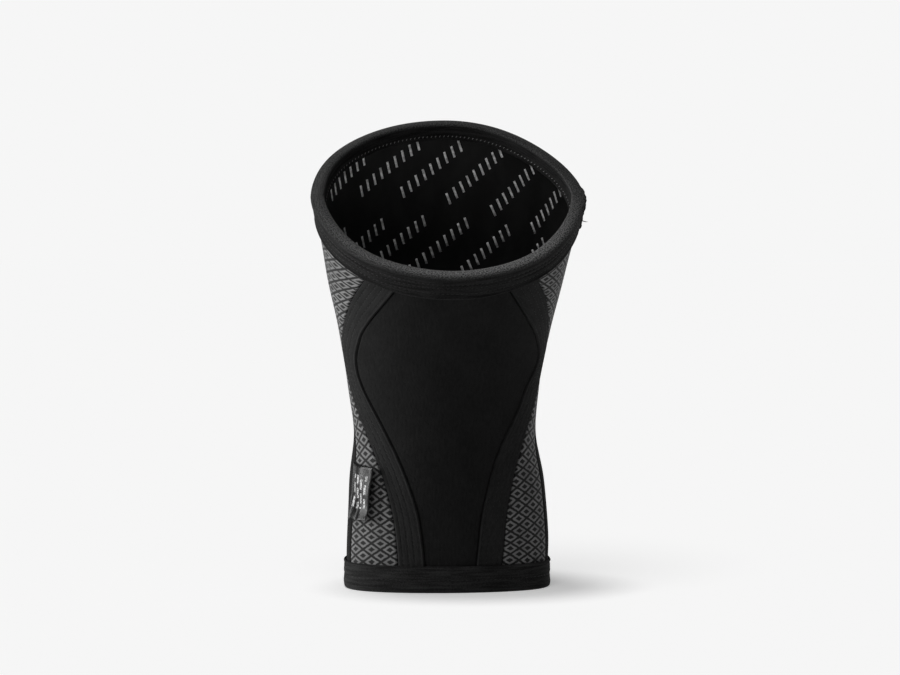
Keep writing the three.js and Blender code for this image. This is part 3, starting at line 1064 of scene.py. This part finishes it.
def stitches(name, rows, material, length=STITCH_LENGTH, radius=STITCH_RADIUS):
    """Small closed threads. rows holds (middles, directions, normals) of the threads of each row."""
    middle, direction, up = (np.concatenate([row[k] for row in rows]) for k in range(3))
    direction = unit(direction)
    side = unit(np.cross(direction, up))
    up = np.cross(side, direction)
    turn = np.arange(STITCH_SIDES) * 2 * math.pi / STITCH_SIDES
    along = STITCH_SHARES * length / 2
    thickness = radius * STITCH_GIRTH[:, None]
    arch = STITCH_ARCH * STITCH_SHARES[:, None] ** 2
    points = (
        middle[:, None, None]
        + direction[:, None, None] * along[:, None, None]
        + side[:, None, None] * (thickness * np.cos(turn))[..., None]
        + up[:, None, None] * (thickness * np.sin(turn) - arch)[..., None]
    ).reshape(len(middle), -1, 3)
    half, sunk = direction * length / 2, up * STITCH_ARCH
    tips = np.stack([middle - half - sunk, middle + half - sunk], 1)
    points = np.concatenate([points, tips], 1)
    rings, sides = len(STITCH_SHARES), STITCH_SIDES
    one = thread_faces(rings, sides)
    faces = (np.arange(len(middle))[:, None, None] * (rings * sides + 2) + one).reshape(-1, 3)
    u = np.append(np.repeat(along, sides), [-length / 2, length / 2])
    v = np.append(np.tile(turn * radius, rings), [0, 0])
    marks = np.tile(np.stack([u, v], -1), (len(middle), 1))
    piece = mesh_object(name, points.reshape(-1, 3), faces, marks[faces], material)
    return piece


def row_round(place, total, pitch=STITCH_PITCH, slant=0.0):
    """A row of stitches round a rim. place gives a point for distances round the rim."""
    count = int(total / pitch)
    at = (np.arange(count) + 0.5) * total / count
    points, normals = place(at)
    ahead, _ = place(at + AHEAD)
    direction = unit(ahead - points)
    side = np.cross(normals, direction)
    return points, direction * math.cos(slant) + side * math.sin(slant), normals


TOP_ANGLES, TOP_RUN = even_angles(1.0, ROUND_SAMPLES, math.pi / 2)
BASE_ANGLES, BASE_RUN = even_angles(0.0, ROUND_SAMPLES)


def on_top_tape(drop, inside):
    def place(at):
        at = at % TOP_RUN[-1]
        angle = np.interp(at, TOP_RUN, TOP_ANGLES)
        from_lap = np.minimum(at, TOP_RUN[-1] - at)
        rise = 0 if inside else LAP_RISE * lap_share(from_lap)
        depth = INNER_FACE + inner_relief(drop) if inside else OUTER_FACE - top_relief(drop)
        drops = np.full(at.shape, float(drop))
        points = above_rim(angle, drops, depth - rise)
        outward = normal(angle, 1 - drops / np.linalg.norm(up_tangent(angle, 1.0), axis=-1))
        return points, -outward if inside else outward

    return place


def on_bottom_tape(height):
    def place(at):
        angle = np.interp(at % BASE_RUN[-1], BASE_RUN, BASE_ANGLES)
        heights = np.full(at.shape, float(height))
        points = on_base(angle, heights, OUTER_FACE - bottom_relief(height))
        return points, normal(angle, np.full(at.shape, SOLE_SHARE))

    return place


def band_row(near_seam, far_seam, side, line):
    """A row of stitches up a band, at a share of its width."""
    depth = BAND_GROOVE - BAND_PROUD

    def angle_at(along):
        start = beside(near_seam, along, side * SEAM_GAP / 2)
        end = beside(far_seam, along, -side * SEAM_GAP / 2)
        return start + (end - start) * line

    fine = np.linspace(ROW_LOW, ROW_HIGH, ROW_UP_SAMPLES)
    run = lengths(within(angle_at(fine), fine, depth))
    at = (np.arange(int(run[-1] / STITCH_PITCH)) + 0.5) * STITCH_PITCH
    share = np.interp(at, run, fine)
    points = within(angle_at(share), share, depth)
    ahead = within(angle_at(share + TINY), share + TINY, depth)
    return points, unit(ahead - points), normal(angle_at(share), share)


top_rows = [row_round(on_top_tape(TOP_TAPE_HEIGHT - edge, False), TOP_ROUND) for edge in TOP_ROWS]
stitches("top_tape_stitches", top_rows, DARK_THREAD)
inside_row = on_top_tape(TOP_TAPE_INSIDE - OVERLOCK_ROW, True)
overlock = row_round(inside_row, TOP_ROUND, OVERLOCK_PITCH, OVERLOCK_SLANT)
stitches("top_tape_overlock", [overlock], PALE_THREAD, OVERLOCK_LENGTH, THICK_THREAD)
bottom_row = row_round(on_bottom_tape(BOTTOM_TAPE_HEIGHT - BOTTOM_ROW), BASE_RUN[-1])
stitches("bottom_tape_stitches", [bottom_row], DARK_THREAD, radius=FINE_THREAD)
for band, seams in (
    ("rear_band_right", (right_near_edge, band_edge, 1)),
    ("rear_band_left", (left_near_edge, left_band_edge, -1)),
):
    band_rows = [band_row(*seams, line) for line in BAND_LINES]
    stitches(band + "_stitches", band_rows, DARK_THREAD, radius=BAND_THREAD)


# Loose end of thread beside the lap

TAIL_AT = -8.0
TAIL_DROP = 7.0
TAIL_LENGTH = 4.8
TAIL_SUNK = 0.5
TAIL_WAVE = 0.9
TAIL_TURN = 2.2
TAIL_RISE = 0.5
TAIL_TIP = 0.1
TAIL_STEPS = 12
TAIL_SIDES = 8


def thread_tail():
    points, outward = on_top_tape(TAIL_DROP, False)(np.array([TAIL_AT % TOP_ROUND]))
    start, out = points[0] - outward[0] * TAIL_SUNK, outward[0]
    down = np.array([0.0, 0.0, -1.0])
    share = np.linspace(0, 1, TAIL_STEPS + 1)[:, None]
    hang = TAIL_WAVE * np.sin(TAIL_TURN * share) - TAIL_RISE * share
    line = start + out * TAIL_LENGTH * share + down * hang
    ahead = unit(np.gradient(line, axis=0))
    side = unit(np.cross(ahead, down))
    up = np.cross(side, ahead)
    turn = (np.arange(TAIL_SIDES) * 2 * math.pi / TAIL_SIDES)[:, None]
    thickness = THICK_THREAD * np.clip(1.02 - share**3, 0.2, 1)
    rings = line[:, None] + (side[:, None] * np.cos(turn) + up[:, None] * np.sin(turn)) * thickness[:, None]
    points = np.concatenate([rings.reshape(-1, 3), line[:1], line[-1:] + ahead[-1] * TAIL_TIP])
    faces = thread_faces(TAIL_STEPS + 1, TAIL_SIDES)
    piece = mesh_object("thread_tail", points, faces, np.zeros((len(faces), 3, 2)), DARK_THREAD)


thread_tail()


# Ribbon label


LABEL_DRAWN_IN = 0.2
LABEL_COLUMNS = 40
LABEL_ROWS = 60
LABEL_CURL = 1.8
LABEL_CURL_TO = 0.3
LABEL_RIPPLE = 0.5
LABEL_BULGE = (0.2, 2.8, 0.16)
LABEL_BULGE_TO = 0.65
LABEL_CREASE = (0.52, 0.9, 0.1)
LABEL_CREASE_UP = (0.3, 1, 0.32)
LABEL_BOW = 1.3
LABEL_SPRING = 0.8
LABEL_SLOPE = 0.5
LABEL_THIN = 0.35
LABEL_EDGE = 1.2


def label():
    """The label, curled off the cloth. out runs from its seam to its free edge and up from foot to head."""
    out, up = np.meshgrid(np.linspace(0, 1, LABEL_COLUMNS + 1), np.linspace(0, 1, LABEL_ROWS + 1))
    height = LABEL_FOOT + LABEL_HEIGHT * up + LABEL_SKEW * out
    along = height / FAR_HEIGHT
    for _ in range(ARC_STEPS):
        angle = -knee_edge(along)
        along = along + (height - outside(angle, along)[..., 2]) / up_tangent(angle, along)[..., 2]
    drawn_in = 1 - LABEL_DRAWN_IN * (1 - up)
    angle = further(-knee_edge(along), along, SEAM_GAP + LABEL_WIDTH * drawn_in * out)
    curl = LABEL_CURL * np.clip(1 - up / LABEL_CURL_TO, 0, 1) ** 2 * out
    curl = curl + LABEL_RIPPLE * np.sin(9 * up + 3 * out) * smooth_step(2 * out)
    bulge = bump(out, *LABEL_BULGE) * smooth_step(1 - up / LABEL_BULGE_TO)
    crease = bump(out, *LABEL_CREASE) * bump(up, *LABEL_CREASE_UP)
    spring = (LABEL_LIFT + LABEL_SPRING) * out**2 + LABEL_BOW * np.sin(math.pi * out) ** 2
    spring = spring + LABEL_SLOPE * out
    lift = TAPE_GAP + spring + curl + bulge - crease
    edge = np.minimum(np.minimum(out, 1 - out) * LABEL_WIDTH, np.minimum(up, 1 - up) * LABEL_HEIGHT)
    thick = LABEL_THICKNESS * (LABEL_THIN + (1 - LABEL_THIN) * smooth_step(edge / LABEL_EDGE))
    middle = lift + LABEL_THICKNESS / 2
    outer = within(angle, along, -(middle + thick / 2))
    inner = within(angle, along, -(middle - thick / 2))
    uv = np.stack([out * LABEL_WIDTH, up * LABEL_HEIGHT], -1)
    ribbon = plate("side_label_ribbon", outer, inner, uv, SATIN_RIBBON)
    return dressed(ribbon, "side_label")


label_piece = label()

# Floor, light and camera


def floor():
    corners = [(x * FLOOR_REACH, y * FLOOR_REACH, 0) for x, y in ((-1, -1), (1, -1), (1, 1), (-1, 1))]
    mesh = bpy.data.meshes.new("floor")
    mesh.from_pydata(corners, [], [(0, 1, 2, 3)])
    n = Nodes("pale_floor")
    surface = {
        "Base Color": grey(FLOOR_ALBEDO),
        "Roughness": 1.0,
        "Specular IOR Level": 0.0,
        "Emission Color": grey(1),
        "Emission Strength": FLOOR_GLOW,
    }
    n.fill(n.shader, surface)
    mesh.materials.append(n.material)
    plane = bpy.data.objects.new("floor", mesh)
    bpy.context.scene.collection.objects.link(plane)
    return plane


def towards(azimuth, elevation):
    a, e = math.radians(azimuth), math.radians(elevation)
    return Vector((math.sin(a) * math.cos(e), -math.cos(a) * math.cos(e), math.sin(e)))


def sun(name, azimuth, elevation, strength, softness, keep_off=()):
    """A soft light from an azimuth, where 0 is the camera's side and negative is left, in degrees.
    keep_off holds objects that it leaves unlit, as a flagged studio light does."""
    data = bpy.data.lights.new(name, "SUN")
    data.energy = strength
    data.angle = math.radians(softness)
    lamp = bpy.data.objects.new(name, data)
    lamp.rotation_euler = towards(azimuth, elevation).to_track_quat("Z", "Y").to_euler()
    bpy.context.scene.collection.objects.link(lamp)
    if keep_off:
        flagged = bpy.data.collections.new(name + "_flag")
        for piece in keep_off:
            flagged.objects.link(piece)
        for linked in flagged.collection_objects:
            linked.light_linking.link_state = "EXCLUDE"
        lamp.light_linking.receiver_collection = flagged


def world():
    backdrop = bpy.data.worlds.new("studio")
    bpy.context.scene.world = backdrop
    backdrop.use_nodes = True
    tree = backdrop.node_tree
    light = tree.nodes["Background"]
    seen = tree.nodes.new("ShaderNodeBackground")
    for node, level, strength in ((light, 1, WORLD_LIGHT), (seen, BACKDROP, 1)):
        node.inputs["Color"].default_value = grey(level)
        node.inputs["Strength"].default_value = strength
    path = tree.nodes.new("ShaderNodeLightPath")
    mix = tree.nodes.new("ShaderNodeMixShader")
    tree.links.new(path.outputs["Is Camera Ray"], mix.inputs[0])
    tree.links.new(light.outputs[0], mix.inputs[1])
    tree.links.new(seen.outputs[0], mix.inputs[2])
    tree.links.new(mix.outputs[0], tree.nodes["World Output"].inputs["Surface"])


def camera():
    data = bpy.data.cameras.new("camera")
    data.lens = CAMERA_LENS
    data.shift_x, data.shift_y = CAMERA_SHIFT
    back = towards(CAMERA_AZIMUTH, CAMERA_ELEVATION)
    eye = bpy.data.objects.new("camera", data)
    eye.location = in_frame(Vector(CAMERA_AIM) + back * CAMERA_DISTANCE)
    eye.rotation_euler = (-back).to_track_quat("-Z", "Y").to_euler()
    bpy.context.scene.collection.objects.link(eye)
    bpy.context.scene.camera = eye


BACKDROP = 0.9216
FLOOR_REACH = 6.0
FLOOR_ALBEDO = 0.86
FLOOR_GLOW = 0.36
WORLD_LIGHT = 0.03
CAMERA_AIM = (0, -10, 138)
CAMERA_AZIMUTH = -3.3
CAMERA_ELEVATION = 4
CAMERA_DISTANCE = 1500
CAMERA_LENS = 100.8
CAMERA_SHIFT = (0.0024, 0.0214)

floor_plane = floor()
world()
sun("top_light", -55, 84, 1.295, 13)
sun("high_light", -30, 66, 0.73, 32)
sun("front_light", -45, 38, 0.28, 30, [floor_plane])
sun("back_light", 140, 25, 0.8, 30, [floor_plane])
sun("left_light", -93, 6, 6.2, 30, [floor_plane, lining_piece, print_piece])
camera()
bpy.context.scene.view_settings.view_transform = "Standard"
